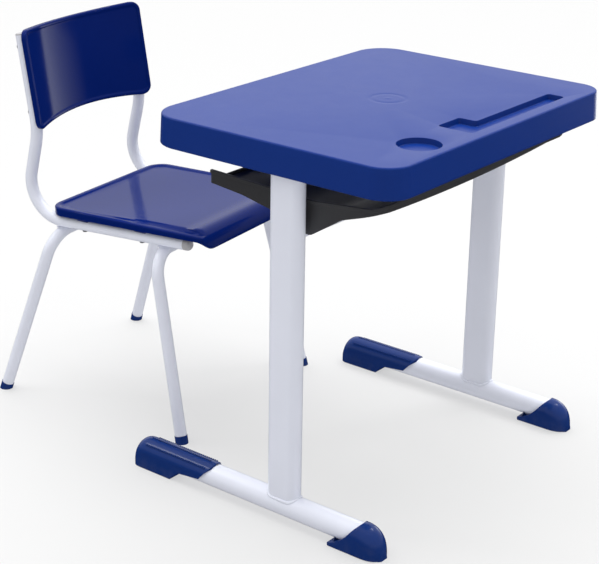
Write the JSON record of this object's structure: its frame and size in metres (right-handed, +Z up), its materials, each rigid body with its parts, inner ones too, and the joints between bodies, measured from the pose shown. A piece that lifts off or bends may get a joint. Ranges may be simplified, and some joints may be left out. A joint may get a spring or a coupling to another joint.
{
  "type": "student desk and chair set",
  "caption": "School desk with a recessed plastic top, book tray and C-shaped tube frame on shod foot rails, with its separate stacking chair of bent tube and moulded shells.",
  "frame": {"origin": "on the floor, at the bottom centre of the box round the desk and its chair as they stand", "axes": "+Z up; +Y from the desk towards the chair, so the sitter faces -Y; +X to the sitter's left"},
  "size_m": [0.6048, 0.949, 0.6641],
  "materials": {
    "desk_shell": "fine grained blue moulding",
    "chair_shell": "polished deep blue moulding",
    "shoe_plastic": "satin deep blue moulding",
    "tray_plastic": "black moulding",
    "frame_paint": "glossy pale grey powder coat over steel",
    "plug_plastic": "pale grey moulding",
    "rivet_metal": "satin",
    "insert_brass": "machined",
    "screw_steel": "zinc plated"
  },
  "bodies": {
    "desk": {"desk_arm_plug_left": "plug_plastic", "desk_arm_plug_right": "plug_plastic", "desk_book_tray": "tray_plastic", "desk_column_left": "frame_paint", "desk_column_right": "frame_paint", "desk_column_welds_left": "frame_paint", "desk_column_welds_right": "frame_paint", "desk_crossbar": "frame_paint", "desk_foot_rail_left": "frame_paint", "desk_foot_rail_right": "frame_paint", "desk_front_shoe_left": "shoe_plastic", "desk_front_shoe_right": "shoe_plastic", "desk_rear_shoe_left": "shoe_plastic", "desk_rear_shoe_right": "shoe_plastic", "desk_shoe_rivets_left": "rivet_metal", "desk_shoe_rivets_right": "rivet_metal", "desk_top": "desk_shell", "desk_top_inserts": "insert_brass", "desk_top_screws": "screw_steel", "desk_tray_rivets": "rivet_metal", "desk_upper_frame": "frame_paint"},
    "chair": {"chair_backrest": "chair_shell", "chair_backrest_rivets": "rivet_metal", "chair_front_foot_cap_left": "shoe_plastic", "chair_front_foot_cap_right": "shoe_plastic", "chair_front_legs": "frame_paint", "chair_front_weld_left": "frame_paint", "chair_front_weld_right": "frame_paint", "chair_rail_plug_left": "plug_plastic", "chair_rail_plug_right": "plug_plastic", "chair_rear_foot_cap_left": "shoe_plastic", "chair_rear_foot_cap_right": "shoe_plastic", "chair_rear_legs": "frame_paint", "chair_rear_weld_left": "frame_paint", "chair_rear_weld_right": "frame_paint", "chair_seat": "chair_shell", "chair_seat_rivets": "rivet_metal", "chair_side_frame_left": "frame_paint", "chair_side_frame_right": "frame_paint", "chair_stile_plug_left": "plug_plastic", "chair_stile_plug_right": "plug_plastic"}
  },
  "joints": [
    {"name": "chair_pull_out", "type": "slide", "parent": "desk", "child": "chair", "axis": [-0.1092, 0.994, 0], "range_m": [-0.25, 0.3]}
  ]
}
